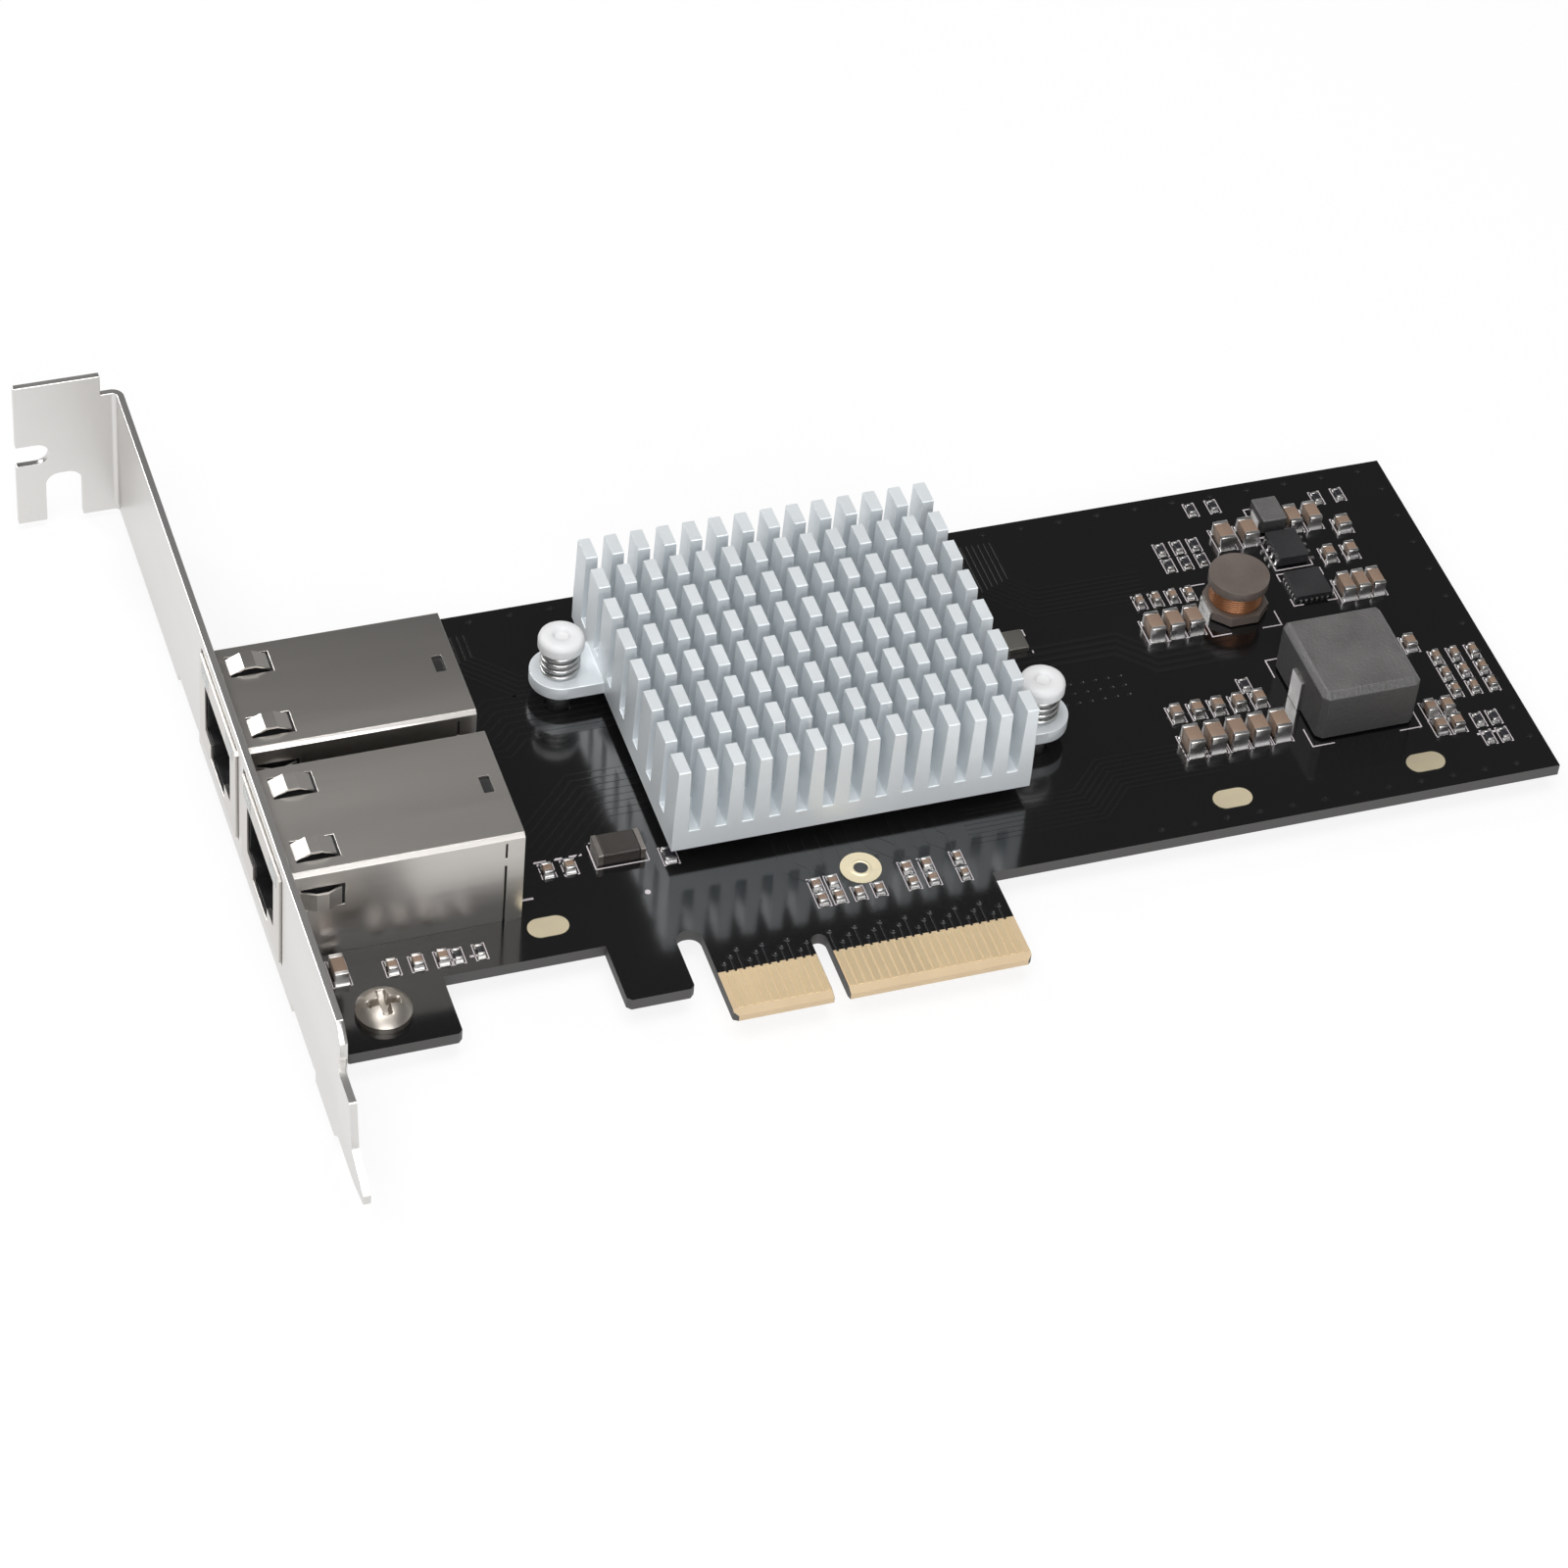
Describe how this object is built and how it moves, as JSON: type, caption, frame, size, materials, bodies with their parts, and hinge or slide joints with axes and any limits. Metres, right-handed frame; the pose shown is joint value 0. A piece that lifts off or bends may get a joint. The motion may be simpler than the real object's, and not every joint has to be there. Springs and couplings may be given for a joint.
{
  "type": "network interface card",
  "caption": "Network interface card with shielded jacks behind a full-height bracket, a pin-fin heatsink and a gold edge connector.",
  "frame": {"origin": "middle of the key notch at the tip of the edge contacts, on the component face of the board", "axes": "+X along the board away from the bracket, +Y from the edge contacts to the top edge, +Z out of the component face; the card lies component side up"},
  "size_m": [0.1653, 0.1184, 0.0224],
  "materials": {
    "board": "glossy solder mask",
    "gold": "gold plating",
    "pads": "pale gold plating",
    "bracket": "satin nickel plate",
    "screws": "nickel plate",
    "shields": "satin nickel plate",
    "housings": "matte black",
    "lights": "clear moulding",
    "transformers": "matte black",
    "solder": "bright tin",
    "heatsink": "cast, satin",
    "push_pins": "white nylon",
    "springs": "drawn wire",
    "chip": "dark laminate and die",
    "thermal_pad": "soft pad",
    "ferrite": "moulded ferrite",
    "terminals": "tinned",
    "winding": "enamelled wire",
    "packages": "matte black",
    "crystal": "metal lid",
    "capacitors": "brown ceramic",
    "resistors": "glazed black"
  },
  "bodies": {
    "root": {"bracket": "bracket", "bracket_screws": "screws", "choke_core": "ferrite", "choke_terminals": "terminals", "choke_winding": "winding", "circuit_board": "board", "controller_chip": "chip", "coupling_capacitors": "capacitors", "crystal": "crystal", "edge_contacts": "gold", "far_jack_contacts": "gold", "far_jack_housing": "housings", "far_jack_lights": "lights", "far_jack_shield": "shields", "far_jack_transformer": "transformers", "ferrite_bead": "ferrite", "ferrite_bead_ends": "terminals", "heatsink": "heatsink", "large_capacitors": "capacitors", "main_inductor": "ferrite", "main_inductor_terminals": "terminals", "memory_chip": "packages", "memory_chip_leads": "terminals", "near_jack_contacts": "gold", "near_jack_housing": "housings", "near_jack_lights": "lights", "near_jack_shield": "shields", "near_jack_transformer": "transformers", "plated_pads": "pads", "push_pin_springs": "springs", "push_pins": "push_pins", "regulator_chip": "packages", "resistors": "resistors", "small_capacitors": "capacitors", "small_inductor": "ferrite", "small_inductor_terminals": "terminals", "solder_joints": "solder", "thermal_pad": "thermal_pad", "underside_capacitors": "capacitors"}
  },
  "joints": []
}
